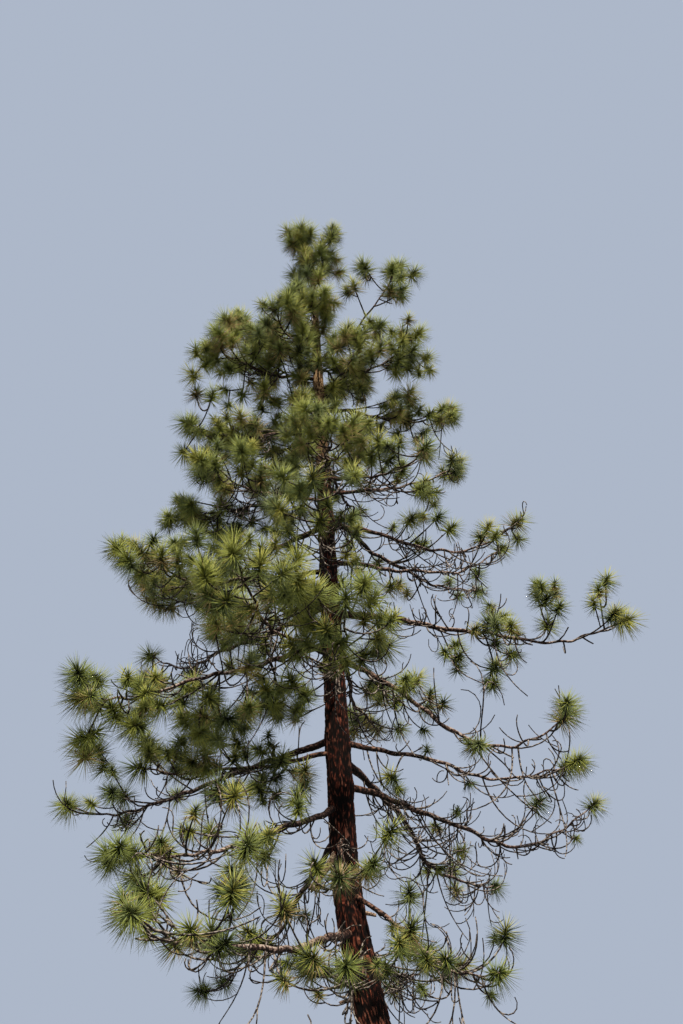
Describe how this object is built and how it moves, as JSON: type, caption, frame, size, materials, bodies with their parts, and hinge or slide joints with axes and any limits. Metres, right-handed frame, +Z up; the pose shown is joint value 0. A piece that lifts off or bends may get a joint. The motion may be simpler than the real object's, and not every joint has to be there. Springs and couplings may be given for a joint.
{
  "type": "pine tree",
  "caption": "Whole long-needled pine rooted in the ground: leaning plated trunk, boughs that sag and curl up, open crown of round sprays of needles.",
  "frame": {"origin": "on the ground, at the middle of the flat cut under the trunk", "axes": "+Z up along the tree's height, +X to the right as the picture shows it, the side seen in front faces -Y"},
  "size_m": [6.598, 6.6532, 11.65],
  "materials": {
    "trunk_bark": "thick plated pine bark, reddish brown with dark fissures, rough",
    "bough_bark": "scaly grey-brown bark of boughs and twigs, rough",
    "foliage": "long slender needles in round sprays, yellow-green to mid green, satin"
  },
  "bodies": {
    "root": {"bough_back_left": "bough_bark", "bough_curled_right": "bough_bark", "bough_drooping_left": "bough_bark", "bough_far_left": "bough_bark", "bough_front_left": "bough_bark", "bough_hanging_right": "bough_bark", "bough_long_back": "bough_bark", "bough_long_left": "bough_bark", "bough_long_right": "bough_bark", "bough_low_left_back": "bough_bark", "bough_low_left_front": "bough_bark", "bough_low_right_back": "bough_bark", "bough_mid_right": "bough_bark", "bough_near_left": "bough_bark", "foliage_back_left": "foliage", "foliage_back_right": "foliage", "foliage_crown_back": "foliage", "foliage_crown_far_left": "foliage", "foliage_crown_far_right": "foliage", "foliage_crown_front": "foliage", "foliage_crown_left": "foliage", "foliage_crown_right": "foliage", "foliage_curled_right": "foliage", "foliage_drooping_left": "foliage", "foliage_far_left": "foliage", "foliage_front": "foliage", "foliage_front_left": "foliage", "foliage_hanging_right": "foliage", "foliage_high_back": "foliage", "foliage_high_front": "foliage", "foliage_high_front_right": "foliage", "foliage_high_left": "foliage", "foliage_high_right": "foliage", "foliage_higher_back": "foliage", "foliage_higher_left": "foliage", "foliage_higher_right": "foliage", "foliage_leader": "foliage", "foliage_long_back": "foliage", "foliage_long_left": "foliage", "foliage_long_right": "foliage", "foliage_low_back": "foliage", "foliage_low_front": "foliage", "foliage_low_left_back": "foliage", "foliage_low_left_front": "foliage", "foliage_low_right": "foliage", "foliage_low_right_back": "foliage", "foliage_mid_left": "foliage", "foliage_mid_right": "foliage", "foliage_middle_right": "foliage", "foliage_near_left": "foliage", "foliage_small_front": "foliage", "foliage_top_front": "foliage", "foliage_top_left": "foliage", "foliage_top_right": "foliage", "foliage_upper_back": "foliage", "foliage_upper_far_left": "foliage", "foliage_upper_front": "foliage", "foliage_upper_left": "foliage", "foliage_upper_right": "foliage", "trunk": "trunk_bark"}
  },
  "joints": []
}
